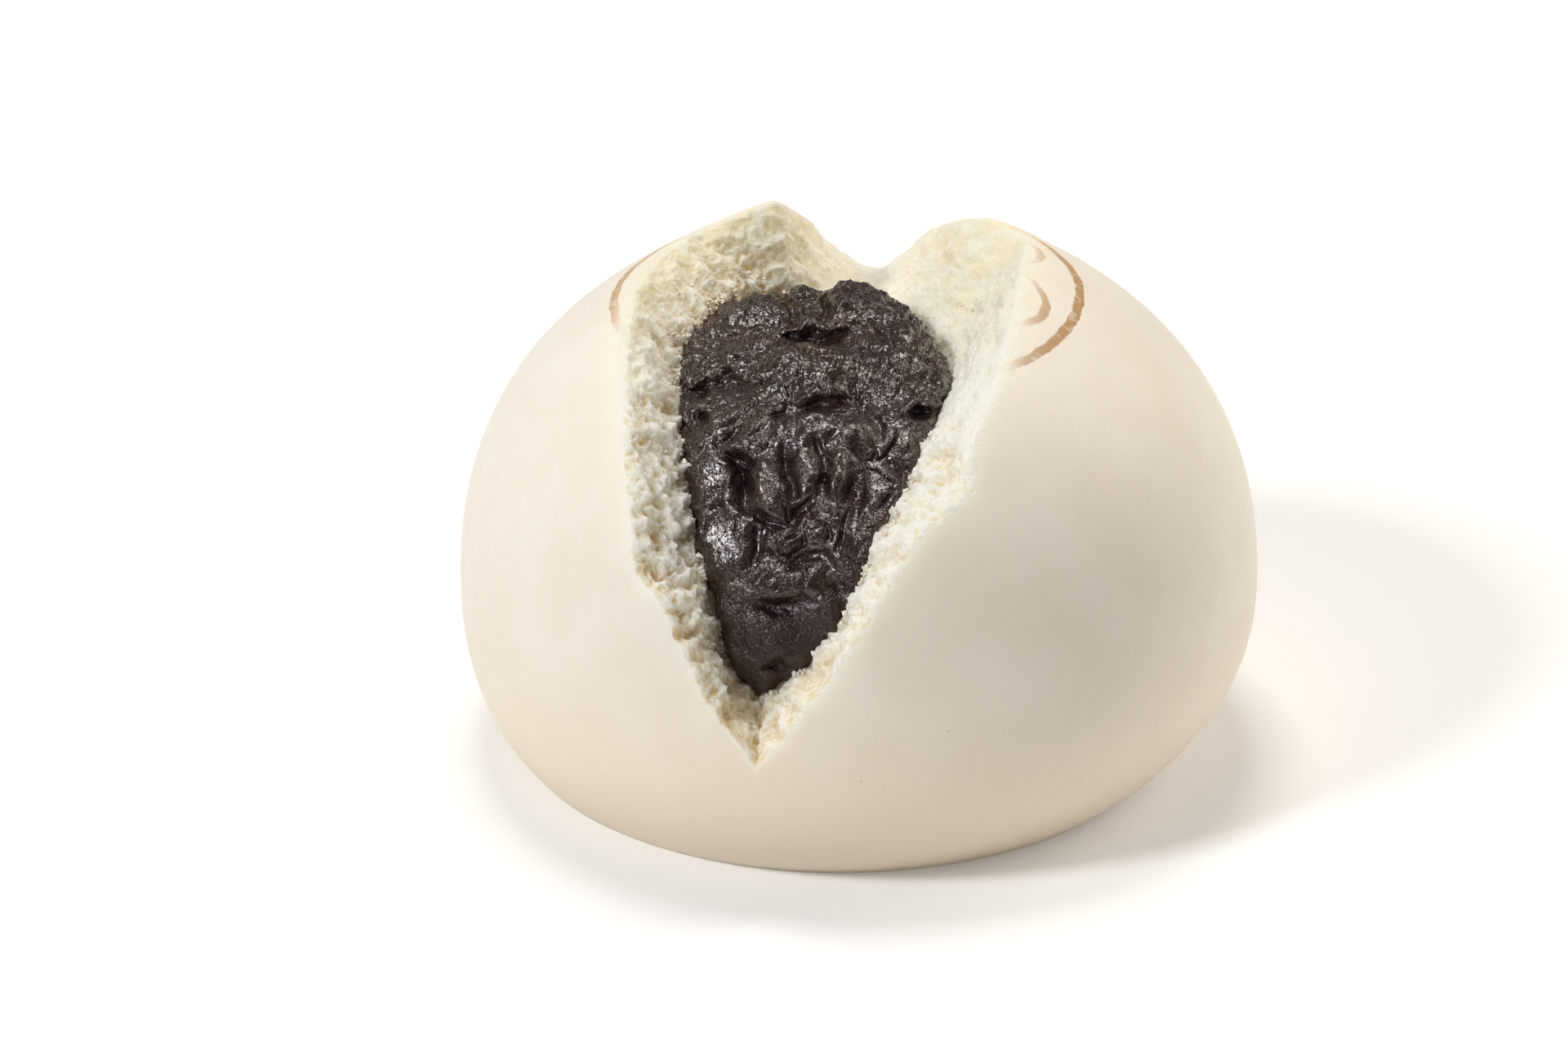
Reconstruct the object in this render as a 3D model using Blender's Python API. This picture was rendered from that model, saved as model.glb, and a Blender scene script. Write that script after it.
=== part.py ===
"""A steamed red bean bun that has been pulled open from its front over the crown.

bun_dough is the white steamed dough, one closed solid with the torn mouth in it. bean_paste is the
filling that sits in the mouth. Sizes are millimetres, and the last step of each mesh turns them into
metres. +Z is up, the tear faces -Y and the bun stands on z = 0, centred on X = Y = 0.
"""
import math
from collections import namedtuple

import bmesh
import bpy
from mathutils import Vector, noise
from mathutils.geometry import interpolate_bezier

MM = 0.001

# The whole bun before it was torn: a rounded dome on a narrower foot
HALF_WIDTH = 44.8        # along X
HALF_DEPTH = 43.4        # along Y
WAIST = 19.4             # height of the widest level
CROWN_RISE = 39.7        # crown above the waist
CROWN_FULLNESS = 2.22    # 2 is an ellipsoid, more is squarer
FOOT_DROP = 30.5         # depth that the foot would have if the table did not cut it
FOOT_FULLNESS = 2.2
FOOT_LEAN = -2.1         # sideways shift of the foot at the table
CENTRE = Vector((0.0, 0.0, WAIST))

# The torn mouth, station by station, clockwise from its lowest tip as seen from the front.
# lip is where the skin ends, seat is where the torn crumb meets the filling.
Station = namedtuple("Station", "lip seat")
STATIONS = [
    Station((-11.4, -41.9, 16.7), (-10.6, -32.9, 21.1)),
    Station((-14.2, -41.1, 20.6), (-13.0, -32.3, 22.3)),
    Station((-16.9, -40.0, 24.1), (-14.5, -31.5, 25.2)),
    Station((-21.2, -36.2, 32.8), (-16.1, -29.0, 31.7)),
    Station((-24.0, -33.1, 36.1), (-17.5, -26.5, 34.6)),
    Station((-24.5, -30.0, 40.4), (-18.0, -24.0, 37.7)),
    Station((-25.3, -21.1, 47.9), (-19.4, -16.1, 42.8)),
    Station((-25.5, -7.3, 52.9), (-19.6, -3.7, 47.0)),
    Station((-23.9, 2.3, 54.3), (-17.5, 2.9, 48.2)),
    Station((-21.0, 11.5, 54.2), (-14.8, 8.6, 48.5)),
    Station((-15.3, 18.5, 54.7), (-11.6, 13.5, 46.0)),
    Station((-9.3, 20.0, 56.5), (-8.4, 15.8, 45.0)),
    Station((-5.6, 28.4, 50.8), (-4.7, 17.1, 44.2)),
    Station((-2.7, 35.0, 44.9), (-1.9, 17.5, 44.0)),
    Station((2.3, 37.9, 40.9), (1.4, 17.0, 44.0)),
    Station((6.1, 34.8, 44.7), (3.7, 15.8, 43.7)),
    Station((9.0, 28.9, 49.8), (5.4, 12.5, 43.2)),
    Station((13.8, 18.5, 55.0), (7.0, 7.6, 43.4)),
    Station((17.9, 14.5, 54.9), (8.2, 2.4, 43.8)),
    Station((18.5, 7.8, 55.9), (9.2, -3.6, 44.8)),
    Station((17.4, -4.7, 56.6), (9.6, -9.8, 45.8)),
    Station((14.8, -20.0, 53.5), (7.4, -19.0, 45.0)),
    Station((12.8, -25.9, 50.9), (6.0, -22.8, 43.8)),
    Station((11.4, -30.2, 48.1), (4.6, -26.3, 42.3)),
    Station((11.3, -33.3, 45.0), (3.4, -28.6, 40.9)),
    Station((7.9, -35.8, 42.9), (1.8, -30.5, 39.2)),
    Station((4.6, -38.1, 40.2), (0.7, -32.2, 36.7)),
    Station((-0.5, -41.8, 32.2), (-1.9, -35.4, 31.0)),
    Station((-6.4, -42.8, 23.4), (-6.3, -35.4, 25.2)),
    Station((-9.3, -42.4, 19.1), (-8.8, -34.3, 22.7)),
]
# Stations where the tear turns sharply: the tip, the left peak and the step on the right
SHARP_STATIONS = (0, 11, 24)
TIP = Vector(STATIONS[0].lip)
SHARP_TANGENT = 0.15     # how much of the smooth tangent a sharp station keeps
CURVE_STEPS = 12         # points read from the curve between two stations

# How the mesh is spread
DOUGH_COLUMNS = 128
FLOOR_RINGS = 4
WALL_RINGS = 10
SKIN_RINGS = 14
BASE_EVENNESS = 0.7        # 0 sets the columns' feet straight under the lip, 1 evenly round the base
PASTE_COLUMNS = 96
PASTE_FRONT_RINGS = 20
PASTE_BACK_RINGS = 4

# The middle of the filling's open face, seen from the bun's centre
PASTE_FACING = Vector((-0.18, -math.cos(math.radians(32.0)), math.sin(math.radians(32.0)))).normalized()

# The skin swells out where it was bent back beside the peaks, and dies away behind them
SWELL_REACH = 0.35
LIP_ROUND = 0.35         # the torn edge is rounded off from this share of the last crumb ring
LIP_START = 0.012        # to this share of the way down the skin

# Torn crumb: lumps on the wall between seat and lip
CRUMB_SEED = Vector((11.0, 3.0, 7.0))
COARSE_LUMP = 4.4
COARSE_HEIGHT = 2.0
FINE_LUMP = 2.2
FINE_HEIGHT = 1.1

# The filling
PASTE_CORE = Vector((-4.5, -11.0, 33.5))
PASTE_BACK_RADIUS = 15.0
SEAT_GAP = 0.4
PASTE_DEPTH_SIDE = 6.0     # how far the filling lies under the whole bun's skin, at the sides
PASTE_DEPTH_FRONT = 5.6
PASTE_DEPTH_CROWN = 8.6
PASTE_EDGE = 0.34          # share of the way to its middle in which the filling's edge rolls over
PASTE_SEED = Vector((2.0, 9.0, 5.0))
PASTE_LUMP = 5.5
PASTE_LUMP_HEIGHT = 0.9

# Folds in the filling, drawn on a plane that leans back by FACE_TILT: x, and height up that plane
FACE_TILT = math.radians(25.0)
Fold = namedtuple("Fold", "points width depth")
FOLDS = [
    Fold(((-8.2, 26.4), (-4.5, 27.4), (-1.0, 27.7)), 1.7, 3.0),
    Fold(((-18.6, 21.4), (-12.3, 20.6)), 1.5, 1.6),
    Fold(((-8.6, 17.0), (-4.0, 19.4), (0.8, 19.4)), 1.4, 1.5),
    Fold(((-14.3, 12.4), (-10.6, 11.0)), 1.4, 1.2),
    Fold(((-8.6, 12.5), (-7.9, 9.0)), 1.4, 1.4),
    Fold(((-13.8, 10.0), (-11.0, 7.2), (-8.2, 5.8)), 1.4, 1.6),
    Fold(((-5.8, 12.4), (-3.9, 8.0)), 1.4, 1.5),
    Fold(((6.9, 24.0), (8.4, 23.2)), 1.5, 1.8),
    Fold(((-13.4, -7.9), (-9.0, -6.6), (-4.6, -8.4)), 1.4, 1.4),
    Fold(((-9.0, 33.5), (-8.0, 29.2)), 1.3, 2.0),
    Fold(((-4.6, 33.5), (-4.4, 29.8)), 1.2, 1.6),
]

DOUGH_COLOUR = (0.82, 0.74, 0.62, 1.0)
PASTE_COLOUR = (0.030, 0.020, 0.016, 1.0)


def clear_scene():
    """Remove every object of the file that the script starts in."""
    for thing in list(bpy.data.objects):
        bpy.data.objects.remove(thing, do_unlink=True)


def ramp(value, low, high):
    """0 below low, 1 above high, and a smooth rise between them."""
    t = min(max((value - low) / (high - low), 0.0), 1.0)
    return t * t * (3.0 - 2.0 * t)


def dome_radius(direction, half_width, half_depth, rise):
    """Distance from the centre to the dome of these sizes, along a unit direction."""
    upper = direction.z >= 0.0
    fullness = CROWN_FULLNESS if upper else FOOT_FULLNESS
    height = rise if upper else FOOT_DROP
    across = math.hypot(direction.x / half_width, direction.y / half_depth)
    return (across ** fullness + (abs(direction.z) / height) ** fullness) ** (-1.0 / fullness)


def skin_point(direction, swell=0.0):
    """Point of the whole bun's skin in a direction, with the foot's sideways lean."""
    radius = dome_radius(direction, HALF_WIDTH, HALF_DEPTH, CROWN_RISE) + swell
    point = CENTRE + direction * radius
    drop = max(WAIST - point.z, 0.0) / WAIST
    point.x += FOOT_LEAN * min(drop, 1.0) ** 2
    return point


def curve_through(points):
    """Dense closed curve through the stations' points, sharp where the tear is."""
    count = len(points)
    tangents = []
    for i in range(count):
        slack = SHARP_TANGENT if i in SHARP_STATIONS else 1.0
        tangents.append((points[(i + 1) % count] - points[i - 1]) * (slack / 6.0))
    dense = []
    for i in range(count):
        j = (i + 1) % count
        piece = interpolate_bezier(points[i], points[i] + tangents[i], points[j] - tangents[j],
                                   points[j], CURVE_STEPS + 1)
        dense.extend(piece[:-1])
    return dense


def mouth_loops(columns):
    """Lip and seat as two paired loops, evenly spaced along the lip."""
    lip = curve_through([Vector(s.lip) for s in STATIONS])
    seat = curve_through([Vector(s.seat) for s in STATIONS])
    lengths = [0.0]
    for i in range(len(lip)):
        lengths.append(lengths[-1] + (lip[(i + 1) % len(lip)] - lip[i]).length)
    even_lip, even_seat = [], []
    i = 0
    for column in range(columns):
        target = lengths[-1] * column / columns
        while lengths[i + 1] < target:
            i += 1
        share = (target - lengths[i]) / (lengths[i + 1] - lengths[i])
        after = (i + 1) % len(lip)
        even_lip.append(lip[i].lerp(lip[after], share))
        even_seat.append(seat[i].lerp(seat[after], share))
    return even_lip, even_seat


def lumps(point, size, seed):
    """Rounded lumps of about this size: near 1 on their tops and down to -1 in the clefts."""
    return 1.0 - 3.2 * abs(noise.noise((point + seed) / size))


def crumb_wall(lip, seat, columns):
    """Rings of the torn crumb from the seat up to the lip, with their lumps."""
    rings = []
    for k in range(WALL_RINGS + 1):
        share = k / WALL_RINGS
        ring = []
        for i in range(columns):
            point = seat[i].lerp(lip[i], share)
            along = lip[(i + 1) % columns] - lip[i - 1]
            rise = lip[i] - seat[i]
            inward = along.cross(rise).normalized()
            room = ramp((lip[i] - TIP).length, 2.0, 14.0)
            fade = math.sin(math.pi * share) ** 0.6 * room
            height = COARSE_HEIGHT * lumps(point, COARSE_LUMP, CRUMB_SEED)
            height += FINE_HEIGHT * lumps(point, FINE_LUMP, CRUMB_SEED)
            ring.append(point + inward * (0.5 * height * fade))
        rings.append(ring)
    return rings


def pit_ring(seat, share, gap):
    """Ring of the hollow under the filling: share 0 is the seat, 1 is the deepest point."""
    ring = []
    for point in seat:
        arm = point - PASTE_CORE
        direction = arm.normalized().slerp(-PASTE_FACING, share)
        radius = arm.length + (PASTE_BACK_RADIUS - arm.length) * ramp(share, 0.0, 1.0)
        ring.append(PASTE_CORE + direction * (radius - gap))
    return ring


def base_directions(lip):
    """Directions from the centre to the rim of the base, one for each column of the lip."""
    shrink = (1.0 - (WAIST / FOOT_DROP) ** FOOT_FULLNESS) ** (1.0 / FOOT_FULLNESS)
    first = math.atan2(lip[0].y, lip[0].x)
    turned = 0.0
    directions = []
    for i, point in enumerate(lip):
        before = lip[max(i - 1, 0)]
        step = math.atan2(before.y, before.x) - math.atan2(point.y, point.x)
        turned += step % math.tau
        even = math.tau * i / len(lip)
        bearing = first - (turned + (even - turned) * BASE_EVENNESS)
        rim = Vector((HALF_WIDTH * shrink * math.cos(bearing), HALF_DEPTH * shrink * math.sin(bearing),
                      -WAIST))
        directions.append(rim.normalized())
    return directions


def skin_ring(lip, feet, share):
    """Ring of the skin: share 0 is the lip, 1 is the rim of the base."""
    ring = []
    for point, foot in zip(lip, feet):
        arm = point - CENTRE
        start = arm.normalized()
        swell = arm.length - dome_radius(start, HALF_WIDTH, HALF_DEPTH, CROWN_RISE)
        kept = (1.0 - ramp(share, 0.0, SWELL_REACH)) ** 1.5
        ring.append(skin_point(start.slerp(foot, share), swell * kept))
    return ring


def dough_rings(columns):
    """Every ring of the dough, from the deepest point of its hollow to the middle of its base."""
    lip, seat = mouth_loops(columns)
    feet = base_directions(lip)
    rings = [pit_ring(seat, 1.0 - k / FLOOR_RINGS, 0.0) for k in range(FLOOR_RINGS)]
    wall = crumb_wall(lip, seat, columns)
    rings += wall[:-1]
    rings.append([a.lerp(b, LIP_ROUND) for a, b in zip(wall[-1], wall[-2])])
    for k in range(SKIN_RINGS + 1):
        rings.append(skin_ring(lip, feet, LIP_START if k == 0 else k / SKIN_RINGS))
    rings.append([Vector((FOOT_LEAN, 0.0, 0.0))] * columns)
    return rings


def fold_depth(x, up):
    """How deep the folds press the filling in at a place on its leaning face."""
    depth = 0.0
    for fold in FOLDS:
        for start, end in zip(fold.points, fold.points[1:]):
            a, b = Vector(start), Vector(end)
            here = Vector((x, up))
            share = min(max((here - a).dot(b - a) / (b - a).length_squared, 0.0), 1.0)
            distance = (here - a.lerp(b, share)).length
            depth = max(depth, fold.depth * math.exp(-(distance / fold.width) ** 2))
    return depth


def paste_front_point(start, start_radius, share):
    """Point of the filling's open face: share 0 is its edge, 1 is the middle of the face."""
    direction = start.slerp(PASTE_FACING, share)
    radius = dome_radius(direction, HALF_WIDTH - PASTE_DEPTH_SIDE, HALF_DEPTH - PASTE_DEPTH_FRONT,
                         CROWN_RISE - PASTE_DEPTH_CROWN)
    roll = 1.0 - (1.0 - min(share / PASTE_EDGE, 1.0)) ** 2.4
    radius = start_radius + (radius - start_radius) * roll
    point = CENTRE + direction * radius
    up = point.y * math.sin(FACE_TILT) + (point.z - WAIST) * math.cos(FACE_TILT)
    relief = 0.5 * PASTE_LUMP_HEIGHT * lumps(point, PASTE_LUMP, PASTE_SEED) - fold_depth(point.x, up)
    return point + direction * relief * ramp(share, 0.0, 0.22)


def paste_rings(columns):
    """Every ring of the filling, from the middle of its open face to its deepest point."""
    seat = mouth_loops(columns)[1]
    edge = pit_ring(seat, 0.0, SEAT_GAP)
    starts = [(point - CENTRE).normalized() for point in edge]
    rings = []
    for k in range(PASTE_FRONT_RINGS):
        share = 1.0 - k / PASTE_FRONT_RINGS
        rings.append([paste_front_point(start, (point - CENTRE).length, share)
                      for start, point in zip(starts, edge)])
    rings += [pit_ring(seat, k / PASTE_BACK_RINGS, SEAT_GAP) for k in range(PASTE_BACK_RINGS + 1)]
    return rings


def wrap_sphere(rings):
    """Sphere whose rings are moved onto the given ones; the first and the last are its poles."""
    bands = len(rings) - 1
    columns = len(rings[0])
    mesh = bmesh.new()
    bmesh.ops.create_uvsphere(mesh, u_segments=columns, v_segments=bands, radius=1.0)
    for vertex in mesh.verts:
        polar = math.acos(max(-1.0, min(1.0, vertex.co.z)))
        turn = math.atan2(vertex.co.y, vertex.co.x) / math.tau
        ring = round(polar / math.pi * bands)
        column = -round(turn * columns) % columns
        vertex.co = rings[ring][column] * MM
    return mesh


def finish(mesh, name, colour, roughness):
    """Turn a mesh into an object of its own, smooth and in its own material."""
    data = bpy.data.meshes.new(name)
    mesh.to_mesh(data)
    mesh.free()
    data.shade_smooth()
    material = bpy.data.materials.new(name)
    material.use_nodes = True
    shader = material.node_tree.nodes["Principled BSDF"]
    shader.inputs["Base Color"].default_value = colour
    shader.inputs["Roughness"].default_value = roughness
    shader.inputs["Metallic"].default_value = 0.0
    data.materials.append(material)
    thing = bpy.data.objects.new(name, data)
    bpy.context.scene.collection.objects.link(thing)
    return thing


def build_dough():
    """The dough: dome, foot and torn mouth in one closed solid."""
    mesh = wrap_sphere(dough_rings(DOUGH_COLUMNS))
    return finish(mesh, "bun_dough", DOUGH_COLOUR, 0.6)


def build_paste():
    """The filling: its folded open face and the rounded back that lies in the dough."""
    mesh = wrap_sphere(paste_rings(PASTE_COLUMNS))
    return finish(mesh, "bean_paste", PASTE_COLOUR, 0.35)


clear_scene()
build_dough()
build_paste()
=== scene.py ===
"""Looks of a steamed red bean bun that has been pulled open from its front over the crown.

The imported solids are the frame. This script gives the dough its skin, its torn crumb and a stamped
ornament, gives the filling its folds and its moist gloss, scatters loose crumbs over the torn walls and
sets a pale studio. Lengths are millimetres until a mesh is written in metres. The tear faces -Y.
"""
import logging
import math
import random
from dataclasses import dataclass
from enum import Enum

import bmesh
import bpy
import numpy as np
from bmesh.types import BMEdge, BMesh, BMFace, BMVert
from bpy.types import ID, Material, Mesh, Node, NodeSocket, NodeTree, Object
from mathutils import Matrix, Vector, noise
from mathutils.geometry import interpolate_bezier


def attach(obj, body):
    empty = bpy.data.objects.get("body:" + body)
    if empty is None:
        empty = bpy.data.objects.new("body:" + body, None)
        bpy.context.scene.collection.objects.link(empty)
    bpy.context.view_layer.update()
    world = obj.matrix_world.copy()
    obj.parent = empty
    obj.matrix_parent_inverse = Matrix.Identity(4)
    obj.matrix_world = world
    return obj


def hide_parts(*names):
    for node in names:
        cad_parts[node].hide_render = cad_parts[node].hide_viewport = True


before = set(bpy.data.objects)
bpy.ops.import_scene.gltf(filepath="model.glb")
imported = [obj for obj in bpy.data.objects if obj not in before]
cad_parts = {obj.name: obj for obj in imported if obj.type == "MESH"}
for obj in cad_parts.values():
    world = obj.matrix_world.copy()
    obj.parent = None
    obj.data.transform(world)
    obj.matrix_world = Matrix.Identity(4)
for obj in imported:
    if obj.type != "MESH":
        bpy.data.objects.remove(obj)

MM = 0.001
NOISE_SEED = 11
log = logging.getLogger("red_bean_bun")

Array = np.ndarray
Spot = tuple[float, float]
Point = tuple[float, float, float]
Colour = tuple[float, float, float]
Feeds = dict[int | str, object]


class Tear(Enum):
    """How the crumb came apart along a stretch of the tear."""

    CLUMPED = "clumped"
    PITTED = "pitted"
    FINE = "fine"


@dataclass(frozen=True)
class Station:
    """One place round the torn mouth.

    Args:
        lip: where the skin ends.
        seat: where the torn crumb meets the filling.
        tear: how the crumb looks there.
    """

    lip: Point
    seat: Point
    tear: Tear


# Lip and seat of each station, clockwise from the lowest tip, as seen from the front
STATIONS = tuple(Station(row[:3], row[3:], tear) for tear, rows in (
    (Tear.PITTED, (
        (-11.4, -41.9, 16.7, -10.6, -32.9, 21.1),
    )),
    (Tear.CLUMPED, (
        (-14.2, -41.1, 20.6, -13.0, -32.3, 22.3),
        (-16.9, -40.0, 24.1, -14.5, -31.5, 25.2),
        (-21.2, -36.2, 32.8, -16.1, -29.0, 31.7),
        (-24.0, -33.1, 36.1, -17.5, -26.5, 34.6),
        (-24.5, -30.0, 40.4, -18.0, -24.0, 37.7),
        (-25.3, -21.1, 47.9, -19.4, -16.1, 42.8),
        (-25.5, -7.3, 52.9, -19.6, -3.7, 47.0),
        (-23.9, 2.3, 54.3, -17.5, 2.9, 48.2),
        (-21.0, 11.5, 54.2, -14.8, 8.6, 48.5),
        (-15.3, 18.5, 54.7, -11.6, 13.5, 46.0),
        (-9.3, 20.0, 56.5, -8.4, 15.8, 45.0),
    )),
    (Tear.FINE, (
        (-5.6, 28.4, 50.8, -4.7, 17.1, 44.2),
        (-2.7, 35.0, 44.9, -1.9, 17.5, 44.0),
        (2.3, 37.9, 40.9, 1.4, 17.0, 44.0),
        (6.1, 34.8, 44.7, 3.7, 15.8, 43.7),
        (9.0, 28.9, 49.8, 5.4, 12.5, 43.2),
        (13.8, 18.5, 55.0, 7.0, 7.6, 43.4),
        (17.9, 14.5, 54.9, 8.2, 2.4, 43.8),
        (18.5, 7.8, 55.9, 9.2, -3.6, 44.8),
        (17.4, -4.7, 56.6, 9.6, -9.8, 45.8),
        (14.8, -20.0, 53.5, 7.4, -19.0, 45.0),
    )),
    (Tear.PITTED, (
        (12.8, -25.9, 50.9, 6.0, -22.8, 43.8),
        (11.4, -30.2, 48.1, 4.6, -26.3, 42.3),
        (11.3, -33.3, 45.0, 3.4, -28.6, 40.9),
        (7.9, -35.8, 42.9, 1.8, -30.5, 39.2),
        (4.6, -38.1, 40.2, 0.7, -32.2, 36.7),
        (-0.5, -41.8, 32.2, -1.9, -35.4, 31.0),
        (-6.4, -42.8, 23.4, -6.3, -35.4, 25.2),
        (-9.3, -42.4, 19.1, -8.8, -34.3, 22.7),
    )),
) for row in rows)
SHARP_STATIONS = (0, 11, 24)
SHARP_TANGENT = 0.15
CURVE_STEPS = 12
SMOOTHING = 90


@dataclass(frozen=True)
class Fold:
    """A crease in the filling.

    Args:
        points: its course on the plane that leans back by FACE_TILT: x, and height up that plane.
        width: how far its sides reach.
        depth: how deep it is.
        hang: how far its upper side hangs over it, from 0 to 1. Its points then run left to right.
    """

    points: tuple[Spot, ...]
    width: float
    depth: float
    hang: float = 0.0

    def press(self, across: Array, up: Array) -> Array:
        """How deep it presses in at each place, shallower towards its ends.

        Args:
            across: places along X.
            up: heights up the leaning plane.

        Returns:
            A depth for each place.
        """
        depth = np.zeros_like(across)
        nearest = np.full_like(across, np.inf)
        stretches = len(self.points) - 1
        for i, (start, end) in enumerate(zip(self.points, self.points[1:])):
            run_x, run_up = end[0] - start[0], end[1] - start[1]
            away_x, away_up = across - start[0], up - start[1]
            share = np.clip((away_x * run_x + away_up * run_up) / (run_x ** 2 + run_up ** 2), 0.0, 1.0)
            distance = np.hypot(away_x - run_x * share, away_up - run_up * share)
            taper = 0.45 + 0.55 * np.sin(np.pi * (i + share) / stretches)
            above = run_x * away_up - run_up * away_x > 0.0
            lean = np.where(above, 1.0 - 0.55 * self.hang, 1.0 + 0.35 * self.hang)
            reach = 0.85 * self.width * (0.6 + 0.4 * taper) * lean
            brow = np.where(above, 0.30 * self.hang, 0.0) * np.exp(-(distance / self.width - 1.2) ** 2 / 0.5)
            pressed = self.depth * taper * (np.exp(-(distance / reach) ** 2) - brow)
            depth = np.where(distance < nearest, pressed, depth)
            nearest = np.minimum(nearest, distance)
        return depth


@dataclass(frozen=True)
class Lobe:
    """A rounded swelling of the filling, on the same plane as the folds.

    Args:
        middle: x, and height up the leaning plane.
        reach: half its width and half its height.
        height: how far it stands out.
    """

    middle: Spot
    reach: Spot
    height: float

    def swell(self, across: Array, up: Array) -> Array:
        """How far it stands out at each place."""
        away = np.hypot((across - self.middle[0]) / self.reach[0], (up - self.middle[1]) / self.reach[1])
        return self.height * np.exp(-away ** 4)


FACE_TILT = math.radians(25.0)
FOLDS = (
    Fold(((-9.0, 27.2), (-6.2, 26.6), (-3.4, 26.8), (-0.2, 27.8)), 1.7, 6.0, 0.3),
    Fold(((-17.0, 26.2), (-13.8, 26.8), (-9.4, 27.9)), 1.0, 1.2, 0.7),
    Fold(((-20.6, 20.4), (-17.4, 20.2), (-14.4, 21.0), (-10.2, 20.0)), 0.85, 2.1, 0.5),
    Fold(((-10.2, 16.0), (-7.6, 17.4), (-4.2, 18.5), (0.8, 18.9)), 0.9, 1.5, 0.7),
    Fold(((-14.4, 12.9), (-12.6, 12.4), (-10.9, 11.2)), 1.1, 1.6, 0.4),
    Fold(((-13.2, 12.6), (-12.9, 9.5), (-12.0, 6.4)), 1.2, 2.7),
    Fold(((-7.9, 13.0), (-7.6, 11.0), (-7.2, 8.2)), 0.9, 1.7),
    Fold(((-4.6, 13.4), (-4.0, 10.5), (-4.6, 8.0)), 0.7, 1.3),
    Fold(((-12.2, 6.8), (-10.0, 5.2), (-8.2, 5.0)), 0.9, 1.3, 0.3),
    Fold(((-8.2, 5.2), (-6.6, 6.3), (-5.3, 7.6)), 0.8, 1.0, 0.3),
    Fold(((-10.9, 5.2), (-12.1, 0.9)), 1.0, 1.1),
    Fold(((-10.4, 2.7), (-7.6, 1.3), (-4.6, 1.7), (-2.4, 0.2)), 1.2, 0.9, 0.6),
    Fold(((-0.5, 23.4), (-0.1, 18.0), (1.7, 15.2)), 0.9, 1.3),
    Fold(((-8.9, 32.4), (-8.5, 28.4)), 0.7, 2.2),
    Fold(((-3.9, 32.4), (-4.1, 28.4)), 0.6, 2.0),
    Fold(((6.8, 22.1), (8.3, 23.0)), 1.1, 2.8),
    Fold(((4.8, 17.4), (7.2, 17.8)), 0.8, 2.2, 0.8),
    Fold(((-10.8, -9.7), (-9.2, -9.0), (-7.0, -10.1)), 0.8, 1.1, 0.8),
    Fold(((-0.5, 12.4), (-1.1, 5.0)), 1.5, 1.4),
    Fold(((-3.6, -0.3), (-1.4, -1.9)), 1.3, 1.0),
    Fold(((-12.6, 16.2), (-15.0, 13.4)), 0.8, 1.0),
    Fold(((-18.2, 17.1), (-16.2, 16.3)), 0.8, 1.6, 0.6),
    Fold(((-11.6, -3.2), (-8.8, -4.0), (-5.4, -3.4)), 1.2, 1.0, 0.6),
    Fold(((2.6, 12.6), (4.6, 9.6)), 1.0, 1.0),
    Fold(((-16.2, 7.6), (-14.6, 6.2)), 0.9, 1.1, 0.5),
)
LOBES = (
    Lobe((-5.4, 22.4), (6.2, 3.4), 1.9),
    Lobe((-4.6, 15.0), (4.2, 1.9), 1.3),
    Lobe((-13.0, 15.6), (3.6, 2.6), 1.1),
    Lobe((-10.0, 9.2), (2.0, 3.4), 1.6),
    Lobe((-5.8, 10.6), (1.4, 2.6), 0.9),
    Lobe((-2.5, 10.2), (1.5, 3.0), 1.2),
    Lobe((-5.7, 4.3), (2.8, 1.4), 0.8),
    Lobe((-3.3, 3.0), (1.6, 2.4), 0.6),
    Lobe((-7.5, -1.4), (3.2, 1.8), 0.8),
    Lobe((-15.6, 10.4), (2.2, 3.4), 0.3),
    Lobe((-14.8, 3.4), (2.0, 3.4), 0.3),
    Lobe((-9.6, -6.4), (3.0, 2.0), 0.6),
    Lobe((-14.4, 23.0), (2.8, 1.6), 0.7),
    Lobe((-11.6, 30.1), (2.3, 1.8), 1.7),
    Lobe((-6.2, 30.8), (1.8, 1.9), 1.9),
    Lobe((-0.6, 30.6), (3.0, 2.1), 1.6),
    Lobe((4.2, 23.6), (2.6, 3.2), 0.6),
    Lobe((7.7, 20.0), (1.8, 2.4), 0.8),
)


def ramp(value: Array | float, low: float, high: float) -> Array | float:
    """Smooth rise from 0 at low to 1 at high, read at each value."""
    t = np.clip((value - low) / (high - low), 0.0, 1.0)
    return t * t * (3.0 - 2.0 * t)


def unit(arms: Array) -> Array:
    """Arms scaled to a length of 1."""
    return arms / np.linalg.norm(arms, axis=-1, keepdims=True)


def turn_towards(start: Array, end: Array, share: float) -> Array:
    """Unit vectors turned from start towards end by a share of the angle between the two."""
    angle = np.arccos(np.clip((start * end).sum(-1, keepdims=True), -1.0, 1.0))
    return (np.sin((1.0 - share) * angle) * start + np.sin(share * angle) * end) / np.sin(angle)


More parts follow.
